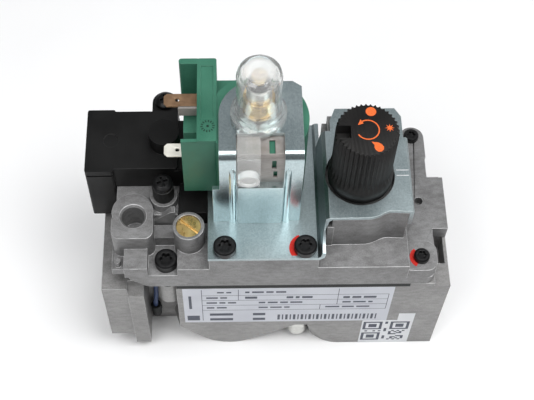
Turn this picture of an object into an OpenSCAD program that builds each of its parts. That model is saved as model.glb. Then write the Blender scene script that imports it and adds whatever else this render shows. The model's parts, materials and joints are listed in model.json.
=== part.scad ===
// Multifunction gas valve for a boiler: die-cast body, gas tap with knob,
// solenoid shut-off valve and a modulating pressure regulator under a clear cap.
// Origin: centre of the inlet port on the inlet face. +X along the gas flow, +Z up.

/* [Overall] */
// Distance between the inlet and outlet flange faces
face_to_face = 124; // [122:0.5:126]
// Width of both pipe flanges
flange_w = 45; // [44:0.5:46]
// Height of the pipe axis above the bottom of the body
axis_height = 31; // [30.5:0.5:31.5]
// Height of the flange top above the pipe axis
flange_top = 20.2; // [20:0.1:20.4]

/* [Ports] */
// Core radius of the Rp 1/2 pipe threads
port_r = 9.3; // [9.1:0.1:9.4]
// Depth of each pipe thread
port_depth = 14; // [13:0.5:15]
// Spacing of the four flange screws, both ways
flange_pitch = 32; // [31:0.5:33]
// Core radius of the inlet flange's tapped M5 holes
inlet_hole_r = 2.1; // [2.0:0.05:2.15]
// Core radius of the outlet flange's holes for thread-forming M5 screws
outlet_hole_r = 2.3; // [2.28:0.01:2.35]
// Core radius of the pilot gas outlet thread
pilot_port_r = 3.95; // [3.8:0.05:4.0]
// Depth of the pilot gas outlet thread
pilot_port_depth = 12; // [11:0.5:13]
// Core radius of the thermocouple thread under the tap
thermocouple_port_r = 3.95; // [3.8:0.05:4.0]

/* [Casting] */
// Compressed thickness of the gasket between body and cover
gasket_t = 2.2; // [2.0:0.1:2.4]
// Depth of the casting behind the pipe axis
rear_y = 36; // [35:0.5:37]
// Height of the cover's low right-hand shelf
shelf_z = 27; // [26.5:0.5:27.5]
// Height of the cover's front ledges
ledge_z = 36; // [35.5:0.5:36.5]
// Radius of the left round chamber under the body
left_lobe_r = 24; // [23.5:0.5:24]
// Radius of the right round chamber under the body
right_lobe_r = 15.4; // [15:0.1:15.6]

/* [Plates] */
// Thickness of the zinc-plated steel base plate
plate_t = 1.4; // [1.2:0.1:1.5]
// Top of the base plate above the pipe axis
plate_z = 43.4; // [43:0.1:43.8]
// Top of the raised knob plate above the pipe axis
knob_plate_z = 55; // [54.8:0.1:55.2]
// Top of the coil bracket above the pipe axis
bracket_z = 84.5; // [84:0.1:85]
// Thickness of the coil bracket
bracket_t = 1.5; // [1.3:0.1:1.6]

/* [Knob] */
// Radius of the knob over its teeth
knob_r = 10.3; // [10:0.1:10.6]
// Radius of the knob's skirt
knob_skirt_r = 11; // [10.9:0.1:11.3]
// Number of teeth round the knob
knob_teeth = 40; // [30:1:48]
// Top of the knob above the pipe axis
knob_top_z = 83; // [82:0.5:84]
// Push travel of the knob
knob_travel = 4; // [3:0.5:4]

/* [Fasteners] */
// Head radius of the M4 screws
m4_head_r = 3.9; // [3.8:0.05:4]
// Head height of the M4 screws
m4_head_h = 3; // [2.6:0.1:3.2]
// Head radius of the M3 screws
m3_head_r = 2.75; // [2.6:0.05:2.8]

/* [Hidden] */
$fn = 48;

// colours
cast_grey = "#a4a09b";
zinc = "#c4d2cd";
green = "#3f7a66";
black = "#232323";
brass = "#cfa255";
steel = "#b9bab8";
copper = "#9a7753";
rubber = "#2c2c2c";

// shared levels and faces
bottom_z = -axis_height;
front_y = -flange_w / 2;
joint_z = flange_top + gasket_t;
upper_rear_y = 28.4;
plate_low_z = plate_z - plate_t;
slab_z = -13;
body_right_x = 118.3;
inlet_flange_t = 9;
inner_port_r = port_r - 0.7;
inlet_flange_low_z = -19.5;
neck_y = -10.5;

// upright axes, as [x, y]
tap = [90.2, 3.1];
coil = [55.5, 8.4];
solenoid = [23.5, 18.4];
pilot_out = [12.6, -6];
pilot_in = [31.8, -11];
left_lobe = [45.3, 2.2];
right_lobe = [87.8, front_y + right_lobe_r];
nipple = [71.4, -17];

// front edge of the raised knob plate, as [x, y], from left to right
plate_front_edge = [
    [80.3, -13.6], [92.6, -13.5], [94.4, -13.2], [96.2, -12.5], [97.8, -11.6], [99.2, -11.1],
    [101, -11], [106.1, -11.3]
];

// screw places, as [x, y, height of the face under the head, shank length]
plate_screws = [[44.1, -18.7, plate_z, 14], [71.4, -18.7, plate_z, 14]];
joint_screws = [[23.6, -17.6, 31, 18], [40, 32.5, shelf_z, 14], [74, 32.5, shelf_z, 14]];
small_screws = [[112.3, -17.4, 33, 18], [113.9, 35.8, shelf_z, 14]];
pad_z = 33;
m4_r = 2;
m3_r = 1.5;

// pockets between the ribs of the rear face, as ranges along X
rear_pockets = [[31, 48], [51, 68], [71, 88], [91, 106]];

// chambers in the lower body
valve_chamber_r = 10;
disc_seat_r = 5.5;
solenoid_seat_z = 12;
regulator_seat_low_z = -6;
regulator_seat_z = -3;

// regulator and coil stack
tube_r = 6;
tube_bore_r = 5;
neck_r = 5;
neck_z = 96;
core_r = 4.92;
core_low_z = 34;
core_top_z = 62;
spring_seat_z = 76;
coil_r = 16.4;
coil_low_z = plate_z + 0.2;
coil_top_z = bracket_z - bracket_t - 0.4;
coil_front_y = -5.4;
stem_r = 1.5;
pilot_screw_r = 4.2;

// gas tap stack
rod_r = 2;
cam_r = 6.95;
cam_low_z = 34.2;
cam_top_z = 49;
well_r = 11.8;
well_z = knob_plate_z - plate_t - knob_travel - 0.6;
safety_seat_z = flange_top + 0.2;
magnet_top_z = -8.9;
magnet_low_z = bottom_z + 1;
knob_low_z = 54.4;
spring_roof_z = 60;

// ---------- helpers ----------

// Box between two corners given as ranges
module slab(x, y, z)
    translate([x[0], y[0], z[0]]) cube([x[1] - x[0], y[1] - y[0], z[1] - z[0]]);

// Flat shape of a rectangle with round corners
module round_rect(x, y, r) {
    translate([x[0] + r, y[0]]) square([x[1] - x[0] - 2 * r, y[1] - y[0]]);
    translate([x[0], y[0] + r]) square([x[1] - x[0], y[1] - y[0] - 2 * r]);
    for (cx = [x[0] + r, x[1] - r], cy = [y[0] + r, y[1] - r])
        translate([cx, cy]) circle(r);
}

// Upright block with round vertical corners
module round_slab(x, y, z, r)
    translate([0, 0, z[0]]) linear_extrude(z[1] - z[0]) round_rect(x, y, r);

// Upright cylinder at an [x, y] place between two heights
module post(at, z, r)
    translate([at[0], at[1], z[0]]) cylinder(r = r, h = z[1] - z[0]);

// Upright tube
module tube(at, z, r, bore)
    difference() {
        post(at, z, r);
        post(at, [z[0] - 1, z[1] + 1], bore);
    }

// Cylinder along X at height z0 and depth y0
module post_x(x, y0, z0, r)
    translate([x[0], y0, z0]) rotate([0, 90, 0]) cylinder(r = r, h = x[1] - x[0]);

// Cylinder along Y
module post_y(y, x0, z0, r)
    translate([x0, y[0], z0]) rotate([-90, 0, 0]) cylinder(r = r, h = y[1] - y[0]);

// Extrudes a flat YZ outline along X
module along_x(x)
    translate([x[0], 0, 0]) rotate([90, 0, 90]) linear_extrude(x[1] - x[0]) children();

// Extrudes a flat XZ outline along Y
module along_y(y)
    translate([0, y[1], 0]) rotate([90, 0, 0]) linear_extrude(y[1] - y[0]) children();

// Ring of round section
module o_ring(at, z, mid_r, cord_r)
    translate([at[0], at[1], z]) rotate_extrude() translate([mid_r, 0]) circle(cord_r);

// Open coil spring: a tube of round wire along a helix
module coil_spring(at, z, mid_r, wire_r, turns) {
    sides = 7;
    steps = 16 * turns;
    rise = z[1] - z[0] - 2 * wire_r;
    function centre(i) =
        let (a = 360 * turns * i / steps)
        [mid_r * cos(a), mid_r * sin(a), wire_r + rise * i / steps];
    points = [
        for (i = [0:steps], k = [0:sides - 1])
            let (a = 360 * turns * i / steps, b = 360 * k / sides)
            centre(i) + wire_r * [cos(b) * cos(a), cos(b) * sin(a), sin(b)]
    ];
    sleeve = [
        for (i = [0:steps - 1], k = [0:sides - 1])
            let (a = i * sides, n = (k + 1) % sides)
            [a + k, a + sides + k, a + sides + n, a + n]
    ];
    start = [[for (k = [0:sides - 1]) k]];
    end = [[for (k = [sides - 1:-1:0]) steps * sides + k]];
    translate([at[0], at[1], z[0]]) polyhedron(points, concat(start, sleeve, end), convexity = 8);
}

// Six-lobed driver recess, cut from the top down
module lobed_recess(r, depth)
    translate([0, 0, -depth]) linear_extrude(depth + 1) {
        circle(r * 0.72);
        for (a = [0:60:300])
            rotate(a) translate([r * 0.72, 0]) circle(r * 0.28);
    }

// Cheese-head screw with a lobed recess; its head stands on the given face
module lobed_screw(place, head_r, head_h, shank_r)
    translate([place[0], place[1], place[2]]) difference() {
        union() {
            cylinder(r = head_r, h = head_h - 0.5);
            translate([0, 0, head_h - 0.5]) cylinder(r1 = head_r, r2 = head_r - 0.5, h = 0.5);
            translate([0, 0, -place[3]]) cylinder(r = shank_r, h = place[3] + 1);
        }
        translate([0, 0, head_h]) lobed_recess(head_r * 0.56, head_h * 0.6);
    }

// Clearance for a screw's shank
module shank_hole(place, shank_r)
    post(place, [place[2] - place[3] - 0.5, place[2] + 1], shank_r + 0.05);

// ---------- castings ----------

module flange_holes(x, r)
    for (sy = [-1, 1], sz = [-1, 1])
        post_x(x, sy * flange_pitch / 2, sz * flange_pitch / 2, r);

// Round chamber under the body, blended up into its flat front
module blended_lobe(centre, r, x, square_x)
    hull() {
        slab(x, [front_y, 30], [slab_z - 0.1, slab_z + 0.1]);
        post(centre, [bottom_z, bottom_z + 0.5], r, $fn = 64);
        if (square_x[1] > square_x[0])
            slab(square_x, [front_y, 28], [bottom_z, bottom_z + 0.5]);
    }

module body_mass() {
    slab([26.5, body_right_x], [front_y, rear_y], [slab_z, flange_top]);
    blended_lobe(left_lobe, left_lobe_r, [26.5, 70], [0, 0]);
    blended_lobe(right_lobe, right_lobe_r, [75, body_right_x], [93.5, body_right_x]);
    // inlet flange, its thicker collar and the neck behind it
    slab([0, inlet_flange_t], [front_y, flange_w / 2], [inlet_flange_low_z, flange_top]);
    along_x([inlet_flange_t, 14.8])
        polygon([
            [front_y - 0.9, -26], [22.5, -26], [22.5, flange_top], [-19, flange_top],
            [front_y - 0.9, 16]
        ]);
    slab([14, 30], [neck_y, 30], [bottom_z, flange_top]);
    // boss for the front left joint screw
    post([23.6, -17.6], [7, flange_top], 4.1);
    slab([19.5, 27.7], [-17.6, -8], [7, flange_top]);
    // raised land where body and cover meet without the gasket
    slab([109.6, body_right_x], [front_y, rear_y - 6], [flange_top - 1, joint_z]);
    // outlet flange
    slab([face_to_face - 8, face_to_face], [front_y, flange_w / 2], [bottom_z, flange_top]);
    // ear for the rear right screw
    post([114.2, 35.8], [8, joint_z], 4.5);
    slab([109.7, 118.3], [28, 35.8], [8, joint_z]);
}

module lower_body() color(cast_grey) difference() {
    body_mass();
    // inlet thread, first chamber and the solenoid valve's seat
    post_x([-1, port_depth], 0, 0, port_r);
    post_x([port_depth - 1, 18], 0, 0, inner_port_r);
    slab([17, 30], [-8, 26], [-7, 9.3]);
    post(solenoid, [8, 13], disc_seat_r);
    slab([16.5, 34], [9, 28], [solenoid_seat_z, flange_top + 1]);
    // gallery along the rear to the tap's chamber
    slab([33, 98], [21, 28.5], [solenoid_seat_z, flange_top + 1]);
    slab([86, 95], [8, 22], [solenoid_seat_z, flange_top + 1]);
    post(tap, [-2, flange_top + 1], valve_chamber_r);
    post(tap, [bottom_z - 1, 0], 8.05);
    // regulator chamber, seat and the chamber under it
    post(coil, [regulator_seat_z, flange_top + 1], valve_chamber_r);
    post(coil, [regulator_seat_low_z - 1, 0], 6.5);
    post(coil, [-26, regulator_seat_low_z], 9.5);
    slab([48, 62], [-11, 5], [-21, regulator_seat_low_z - 0.5]);
    // duct to the outlet thread
    slab([44, 107], [-19.5, -8.5], [-10, 8]);
    slab([99, 107], [-19.5, 9], [-9, 9]);
    post_x([106, face_to_face - port_depth + 1], 0, 0, inner_port_r);
    post_x([face_to_face - port_depth, face_to_face + 1], 0, 0, port_r);
    // flange screw holes and the slot in the outlet flange's top
    flange_holes([-1, inlet_flange_t - 1], inlet_hole_r);
    flange_holes([face_to_face - 6, face_to_face + 1], outlet_hole_r);
    slab([119.8, 122.8], [-13.4, -2.6], [11, flange_top + 1]);
    for (s = joint_screws) shank_hole(s, m4_r);
    for (s = small_screws) shank_hole(s, m3_r);
    // test point thread and the room for its key
    post(nipple, [slab_z - 1, -9], 2.55);
    post(nipple, [bottom_z - 1, slab_z], 5.3);
    // weight-saving pockets in the rear face
    for (x = rear_pockets) slab(x, [rear_y - 3.5, rear_y + 1], [-9, 8]);
}

module body_gasket() color(rubber) difference() {
    union() {
        slab([26.8, 109.5], [front_y, rear_y], [flange_top, joint_z]);
        slab([14.2, 26.8], [-8.5, 30], [flange_top, joint_z]);
        post([23.6, -17.6], [flange_top, joint_z], 4.1);
        slab([19.5, 27], [-17.6, -8], [flange_top, joint_z]);
    }
    slab([16.5, 34], [9, 28], [flange_top - 1, joint_z + 1]);
    slab([33, 98], [21, 28.5], [flange_top - 1, joint_z + 1]);
    slab([86, 95], [8, 22], [flange_top - 1, joint_z + 1]);
    post(tap, [flange_top - 1, joint_z + 1], valve_chamber_r);
    post(coil, [flange_top - 1, joint_z + 1], valve_chamber_r);
    for (s = joint_screws) shank_hole(s, m4_r);
}

module cover_mass() {
    // base of the cover over the whole joint
    round_slab([27, body_right_x], [front_y, rear_y], [joint_z, shelf_z], 4);
    slab([27, 40], [front_y, rear_y - 6], [joint_z, shelf_z]);
    slab([14.2, 32], [-9, 31], [joint_z, 31]);
    post([114.2, 35.8], [joint_z, shelf_z], 4.5);
    slab([109.7, 118.7], [27, 35.8], [joint_z, shelf_z]);
    // front ledges and the middle block under the base plate
    slab([27, 107.5], [front_y, upper_rear_y], [shelf_z - 1, ledge_z - 5]);
    slab([27.6, 38.6], [front_y, -4.5], [30, ledge_z - 0.5]);
    slab([38.6, 76], [front_y, upper_rear_y], [30, plate_low_z]);
    slab([75, 107.5], [front_y, 28], [30, ledge_z]);
    // pad for the front right screw
    round_slab([105, body_right_x - 0.4], [front_y, -11], [shelf_z - 1, pad_z], 4);
    // shelf over the outlet flange
    slab([110, face_to_face], [-3, 18.3], [joint_z, shelf_z]);
    slab([118.4, face_to_face], [-3, 18.3], [flange_top + 0.05, shelf_z]);
    // tap housing with its curved right front corner
    slab([78.7, 81], [-13.9, 28], [ledge_z - 1, 49]);
    translate([0, 0, ledge_z - 1]) linear_extrude(knob_plate_z - plate_t - ledge_z + 1)
        polygon(concat(plate_front_edge, [[106.1, 28], [80.3, 28]]));
    // left overhang beside the inlet
    slab([9.2, 17.3], [front_y, 5], [29.5, ledge_z + 0.4]);
    slab([4.6, 9.4], [-20, 5], [27.5, 31]);
    slab([6.4, 28], [-4, 36], [27.5, 41]);
    slab([27, 33.5], [5, upper_rear_y], [30, 41]);
    slab([17, 28], [front_y, -8], [joint_z, 31]);
    along_y([front_y, -8])
        polygon([[10.4, 30], [17.5, 30], [17.5, joint_z], [15.6, 23.4], [11, 28]]);
    // pilot outlet boss, pilot screw boss, spacer boss
    round_slab([5.2, 19.6], [-14.7, -4.5], [30, 44], 3);
    post([12.4, -4.2], [30, 44], 7.2);
    post(pilot_in, [30, 46], 5.4);
    // slanted web up to the spacer boss
    along_y([-4.9, -2.5])
        polygon([[18, 32], [27, 32], [27, 44.4], [25.6, 44.4], [19, 38]]);
    slab([19, 28], [-10.6, -5.4], [30, ledge_z + 0.4]);
    post([23.1, 1.6], [30, 45.4], 4.8);
    slab([19.4, 25], [1.6, 7.5], [30, 41]);
    // ear under the solenoid block's rear screw
    post([23.1, 38.4], [30, 43.6], 4.6);
    slab([18.5, 27.7], [34, 38.4], [30, 41]);
    // small peg at the left corner
    post([6.8, -18], [30, 34], 1.1);
}

module upper_cover() color(cast_grey) difference() {
    union() {
        cover_mass();
        tube(tap, [safety_seat_z, joint_z + 0.5], 7, disc_seat_r);
    }
    // tap: gas passage, cam bore, seal groove and the well that the knob sinks into
    post(tap, [joint_z - 3, cam_low_z + 1], disc_seat_r);
    post(tap, [cam_low_z - 0.2, well_z + 1], cam_r + 0.05);
    post(tap, [43.9, 45.9], 8.9);
    post(tap, [well_z, knob_plate_z], well_r);
    // regulator: diaphragm recess, cavity, core tube bore
    post(coil, [joint_z - 1, joint_z + 1.5], 13);
    post(coil, [joint_z, 30.5], 11.5);
    post(coil, [30, plate_z], tube_r + 0.02);
    slab([64, 88], [5, 8], [25, 29]);
    // solenoid: stem hole and tube seat
    post(solenoid, [joint_z - 1, 30], 3);
    post(solenoid, [29.5, 42], 4.52);
    // pilot gas passages
    post(pilot_out, [44 - pilot_port_depth, 45], pilot_port_r);
    translate([pilot_out[0], pilot_out[1], 43.3]) cylinder(r1 = pilot_port_r, r2 = 4.75, h = 0.8);
    post(pilot_in, [33, 47], pilot_screw_r + 0.08);
    post_x([pilot_out[0], pilot_in[0]], -8, 33.6, 1.2);
    // screws, blind hole in the shelf
    for (s = joint_screws) shank_hole(s, m4_r);
    for (s = plate_screws) shank_hole(s, m4_r);
    for (s = small_screws) shank_hole(s, m3_r);
    post([23.1, 1.6], [34, 46], 1.75);
    post([23.1, 38.4], [34, 46], 1.75);
    post([114.4, 8.4], [23, shelf_z + 1], 1.5);
}

// ---------- plates ----------

// Side view of the base plate: flat, slanted riser, knob plate, down-turned edge
module plate_profile() {
    t = plate_t;
    low = plate_low_z;
    top = knob_plate_z;
    polygon([
        [38.3, low], [76.3, low], [77.7, low + t], [79.2, top - t - 1], [80.2, top - t],
        [106.2, top - t], [106.2, 46], [107.6, 46], [107.6, top - 0.6], [107, top],
        [79.2, top], [77.9, top - 0.9], [76.5, low + t + 1], [75.6, low + t], [38.3, low + t]
    ]);
}

module base_plate() color(zinc) difference() {
    along_y([front_y, 31]) plate_profile();
    // front edge of the knob plate curves back towards the right
    translate([0, 0, plate_z + 0.4]) linear_extrude(20)
        polygon(concat(
            [[78, front_y - 1], [78, -13.6]], plate_front_edge,
            [[109, -11.3], [109, front_y - 1]]
        ));
    slab([104, 109], [front_y - 1, -11.3], [plate_z - 3, 60]);
    along_x([70, 99.6])
        polygon([
            [front_y - 1, 60], [front_y - 1, 46.5], [-19, 47.6], [-15.6, 50.4], [-13.6, 56],
            [-13.6, 60]
        ]);
    // narrower rear tab with slanted corners
    translate([0, 0, plate_z + 1]) linear_extrude(20)
        polygon([[70, 20.9], [81, 20.9], [81, 25.1], [83, 30.2], [83, 32], [70, 32]]);
    translate([0, 0, 40]) linear_extrude(20)
        polygon([[109, 18], [106.1, 18], [106.1, 26.6], [104, 30.2], [104, 32], [109, 32]]);
    slab([82, 106], [30.2, 32], [plate_z + 1, 60]);
    // knob opening, core tube hole, screw holes
    post(tap, [50, 60], well_r);
    post(coil, [40, 46], tube_r + 0.05);
    for (s = plate_screws) shank_hole(s, m4_r);
}

// Flat outline of the bracket's top plate
module bracket_outline() {
    translate([42.7, -9]) square([27, 17.4]);
    intersection() {
        translate([56.2, 8.4]) circle(13.5);
        translate([42, 0]) square([28, 21.3]);
    }
    translate([56.2, 0])
        polygon([[0, 0], [13.5, 0], [13.5, 19.2], [10.6, 21.3], [0, 21.3]]);
}

// Side view of the bracket: leg, bend and top plate
module bracket_profile() {
    t = bracket_t;
    r = 3.2;
    y0 = -8;
    translate([y0, plate_z]) square([t, bracket_z - r - plate_z]);
    translate([y0 + r, bracket_z - t]) square([32, t]);
    translate([y0 + r, bracket_z - r]) intersection() {
        difference() {
            circle(r);
            circle(r - t);
        }
        translate([-r, 0]) square([r, r]);
    }
}

module yoke_bracket() color(zinc) difference() {
    union() {
        intersection() {
            along_x([42.7, 69.7]) bracket_profile();
            linear_extrude(100) bracket_outline();
        }
        // wider foot, raised panel and its two ribs
        slab([40.3, 43], [-8, -8 + bracket_t], [plate_z, 65]);
        slab([48.6, 63.4], [-8.9, -7.5], [plate_z, 67.2]);
        for (x = [46.9, 64.9]) {
            post([x, -7.75], [plate_z, 76], 1.1);
            translate([x, -7.75, 76]) cylinder(r1 = 1.1, r2 = 0.4, h = 1.8);
        }
    }
    // window from the panel up over the bend
    slab([48.2, 63.6], [-10, 1.2], [67.2, bracket_z + 1]);
    post(coil, [80, 90], neck_r + 0.1);
    // relief notch above the left foot
    post([41, -7.2], [65, 65.2], 0.6);
}

module window_strip() color("#8d8680") difference() {
    along_x([46.4, 65.4])
        polygon([
            [-6.5, 65.6], [-5.7, 65.6], [-5.7, 81.4], [-5.2, 81.9], [1.8, 81.9], [1.8, 82.6],
            [-5.4, 82.6], [-6.4, 81.6], [-6.5, 80.5]
        ]);
    slab([58.7, 60.6], [-5.2, -0.2], [80, 84]);
    slab([59.6, 61], [-8, -5], [75.2, 80.2]);
    slab([60.1, 61.4], [-8, -5], [70, 73.8]);
}

// ---------- modulating coil ----------

module coil_body_shape() {
    // round coil, cut flat behind the bracket's leg
    difference() {
        post(coil, [coil_low_z, coil_top_z], coil_r);
        slab([30, 80], [-12, coil_front_y], [40, 90]);
    }
    slab([41.5, 52], [2, 26.4], [52, 78]);
    // connector wall, shroud walls, floor and mid rib
    round_slab([35.7, 42.1], [-0.6, 31.8], [51.7, 83], 0.8);
    slab([30.6, 36.5], [-0.6, 0.6], [51.7, 82.6]);
    round_slab([29.6, 36.5], [29.6, 31.8], [58, 83], 1);
    slab([30.6, 36.5], [-0.6, 31.4], [51.7, 53.2]);
    slab([31, 36.5], [8.5, 15.5], [60, 74]);
}

module coil_housing() color(green) difference() {
    coil_body_shape();
    post(coil, [coil_low_z - 1, coil_top_z + 1], tube_r + 0.25);
    tube(coil, [coil_low_z + 2, coil_top_z - 2], 14.4, 8);
    // recessed panel on the connector wall's top, slots for the tabs
    slab([36.9, 41], [8, 28.8], [82.5, 84]);
    // room for the strip's top leg
    slab([46, 65.8], [-6, 2.4], [81.6, 84]);
    slab([35, 40], [14.7, 19.5], [79.6, 80.4]);
    slab([35, 40], [1.5, 6.3], [70.2, 71]);
    slab([35, 40], [12.6, 13.4], [77.8, 82]);
}

module coil_winding() color("#b5652d")
    difference() {
        tube(coil, [coil_low_z + 2.1, coil_top_z - 2.1], 14.3, 8.1);
        slab([30, 80], [-12, coil_front_y + 0.8], [40, 90]);
    }

// Blade terminal lying flat, pointing left
module flat_tab(x, y, z)
    difference() {
        translate([0, 0, z[0]]) linear_extrude(z[1] - z[0]) polygon([
            [x[0], y[0] + 1], [x[0] + 1, y[0]], [x[1], y[0]], [x[1], y[1]], [x[0] + 1, y[1]],
            [x[0], y[1] - 1]
        ]);
        post([x[0] + 4.4, (y[0] + y[1]) / 2], [z[0] - 1, z[1] + 1], 0.7);
    }

module line_tab() color(copper) flat_tab([24.8, 40], [14.7, 19.5], [79.6, 80.4]);

module neutral_tab() color("#d9d4c8") flat_tab([24.6, 40], [1.5, 6.3], [70.2, 71]);

module earth_tab() color("#8a8a88") slab([29.6, 40], [12.6, 13.4], [77.8, 82]);

module core_tube() color(brass) difference() {
    union() {
        post(coil, [31, bracket_z - bracket_t], tube_r);
        post(coil, [80, neck_z], neck_r);
    }
    post(coil, [30, 78], tube_bore_r);
    post(coil, [77, neck_z + 1], 2.3);
}

module adjuster_nut() color(steel) difference() {
    intersection() {
        translate([coil[0], coil[1], bracket_z + 0.05])
            rotate(30) cylinder(r = 6.8, h = 4.9, $fn = 6);
        translate([coil[0], coil[1], bracket_z + 0.05])
            cylinder(r1 = 8.6, r2 = 5.8, h = 4.9);
    }
    post(coil, [80, 95], neck_r + 0.05);
}

module adjuster_sleeve() color(steel) tube(coil, [neck_z + 0.1, 101], 4.1, 2.2);

module adjuster_seal() color(rubber) tube(coil, [101, 103.4], 3.2, 2.2);

module adjuster_screw() color(brass) difference() {
    union() {
        post(coil, [103.4, 106], 2.5);
        post(coil, [spring_seat_z + 1, 103.6], 2.2);
        post(coil, [spring_seat_z, 77.8], 4.6);
    }
    slab([coil[0] - 4, coil[0] + 4], [coil[1] - 0.4, coil[1] + 0.4], [105, 107]);
}

module regulator_spring() color(steel)
    coil_spring(coil, [core_top_z + 0.1, spring_seat_z - 0.1], 3.4, 0.4, 7);

module modulator_core() color("#9b9ea0") difference() {
    post(coil, [core_low_z, core_top_z], core_r);
    post(coil, [core_low_z - 1, core_low_z + 8], stem_r);
}

module regulator_stem() color(brass) post(coil, [-9.4, core_low_z + 8], stem_r);

module diaphragm_plate() color("#b7b9bb")
    tube(coil, [joint_z + 1.2, joint_z + 2.2], 7, stem_r);

module regulator_disc() color(rubber)
    tube(coil, [-9.4, regulator_seat_low_z - 2.1], 8.3, stem_r);

// Rolling diaphragm with one convolution, clamped at its rim
module diaphragm() color(rubber)
    translate([coil[0], coil[1], joint_z]) rotate_extrude()
        polygon([
            [stem_r + 0.05, 0.4], [7.4, 0.4], [8.2, -0.6], [9.2, -0.6], [9.9, 0], [12.9, 0],
            [12.9, 1.45], [11.8, 1.45], [10.6, 0.9], [9.4, 0.3], [8.4, 0.3], [7.6, 1.2],
            [stem_r + 0.05, 1.2]
        ]);

// Clear adjuster cover with a sealing tongue down the bracket's window
module clear_cap() color("#dfe6e4", 0.45) difference() {
    union() {
        translate([coil[0], coil[1], 0]) rotate_extrude() polygon([
            [0, bracket_z + 0.1], [9.1, bracket_z + 0.1], [9.1, 86.6], [7.9, 87.2], [7.9, 89],
            [7.3, 89.6], [7.2, 105.2], [6.7, 107.2], [5.2, 108.4], [3, 108.8], [0, 108.8]
        ]);
        slab([48.5, 55.8], [-9.9, 1.6], [bracket_z + 0.1, bracket_z + 1.3]);
        slab([48.5, 55.8], [-9.9, -8.9], [70, bracket_z + 1.3]);
        post_y([-12.4, -9.4], 52.1, 77.1, 3.4);
    }
    translate([coil[0], coil[1], 0]) rotate_extrude() polygon([
        [0, 84], [7.7, 84], [7.7, 86.2], [7.2, 87], [7.2, 88.6], [6.5, 89.4], [6.1, 104.8], [5.5, 106.3],
        [4.4, 107.1], [0, 107.5]
    ]);
    post_y([-13, -11.6], 52.1, 77.1, 2.4);
}

// ---------- solenoid shut-off valve ----------

module solenoid_block() color(black) difference() {
    union() {
        round_slab([-3.8, 28], [7.6, 31.2], [41.1, 53], 0.8);
        round_slab([20, 33.2], [7.6, 28.2], [41.1, 51.4], 0.8);
        round_slab([-3.8, 6], [6.5, 31.9], [23.5, 53], 0.8);
        slab([28.4, 38], [-4.4, 14], [41.1, 43]);
        slab([28.4, 38], [-4.4, 4.6], [35.6, 41.2]);
        post(solenoid, [41.1, 59.5], 5.3);
        // rear ear
        post([23.1, 38.4], [43.7, 48], 4.6);
        slab([18.5, 27.7], [30, 38.4], [43.7, 48]);
    }
    post(solenoid, [41, 58.6], 4.52);
    tube(solenoid, [42.5, 50.5], 8.6, 5.2);
    post([23.1, 38.4], [40, 50], 1.75);
    post([4.9, 19.2], [52.6, 54], 2.7);
    slab([-4.6, 8], [6, 6.9], [49.6, 50.4]);
}

module solenoid_tube() color(brass) difference() {
    post(solenoid, [30, 58.4], 4.5);
    post(solenoid, [29, 57.4], 4);
}

module solenoid_winding() color("#b5652d") tube(solenoid, [42.6, 50.4], 8.5, 5.3);

module armature() color("#9b9ea0") post(solenoid, [36, 50], 3.94);

module solenoid_disc() color(rubber) union() {
    post(solenoid, [solenoid_seat_z + 0.05, solenoid_seat_z + 2.2], 6.6);
    post(solenoid, [solenoid_seat_z + 2, 36], 1.5);
}

module solenoid_spring() color(steel) coil_spring(solenoid, [50.1, 57.3], 2.9, 0.35, 5);

module spacer_sleeve() color(black) tube([23.1, 1.6], [45.4, 52], 3.7, 1.75);

// Pan-head screw with a cross recess
module cross_screw(at, face_z, length)
    translate([at[0], at[1], face_z]) difference() {
        union() {
            cylinder(r = 3.5, h = 1.6);
            translate([0, 0, 1.6]) cylinder(r1 = 3.5, r2 = 2.3, h = 0.9);
            translate([0, 0, -length]) cylinder(r = 1.7, h = length + 1);
        }
        for (a = [20, 110])
            rotate(a) translate([-1.9, -0.4, 1.3]) cube([3.8, 0.8, 2]);
    }

module cross_screws() color(black) union() {
    cross_screw([23.1, 1.6], 52, 16);
    cross_screw([23.1, 38.4], 48, 12);
}

module torx_screws_m4() color(black) union() {
    for (s = plate_screws) lobed_screw(s, m4_head_r, m4_head_h, m4_r);
    for (s = joint_screws) lobed_screw(s, m4_head_r, m4_head_h + 0.8, m4_r);
}

module torx_screws_m3() color(black) union() {
    for (s = small_screws) lobed_screw(s, m3_head_r, 2.2, m3_r);
}

// ---------- gas tap and flame-failure valve ----------

// Toothed outline of the knob
function knob_outline() = [
    for (i = [0:knob_teeth - 1], k = [0:3])
        let (a = (i + [0, 0.28, 0.5, 0.78][k]) * 360 / knob_teeth, r = knob_r - (k > 1 ? 0.55 : 0))
        r * [cos(a), sin(a)]
];

module knob() color("#33312f") difference() {
    union() {
        translate([tap[0], tap[1], spring_roof_z - 1]) linear_extrude(knob_top_z - spring_roof_z + 1)
            polygon(knob_outline());
        translate([tap[0], tap[1], 0]) rotate_extrude() polygon([
            [0, knob_low_z], [knob_skirt_r, knob_low_z], [knob_skirt_r, 58.5],
            [knob_r - 0.5, 61.5], [0, 61.5]
        ]);
    }
    // finger notch in the rim, socket for the shaft, spring space
    slab([tap[0] - 11.5, tap[0] - 5.4], [tap[1] - 3, tap[1] + 1.6], [78.5, 84]);
    difference() {
        post(tap, [50, 71], 4.08);
        slab([tap[0] + 2.98, tap[0] + 6], [tap[1] - 6, tap[1] + 6], [56.3, 72]);
    }
    post(tap, [50, spring_roof_z], 8.2);
    post(tap, [70, 76], rod_r);
}

module knob_rod() color(steel) post(tap, [safety_seat_z + 0.1, 76], rod_r);

module knob_spring() color(steel)
    coil_spring(tap, [cam_top_z + 0.1, spring_roof_z - 0.1], 6.4, 0.5, 4);

module tap_cam() color(brass) difference() {
    union() {
        post(tap, [cam_low_z, cam_top_z], cam_r);
        difference() {
            post(tap, [cam_top_z, 66], 4);
            slab([tap[0] + 2.9, tap[0] + 6], [tap[1] - 6, tap[1] + 6], [52, 70]);
        }
    }
    post(tap, [30, 70], rod_r + 0.06);
}

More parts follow.
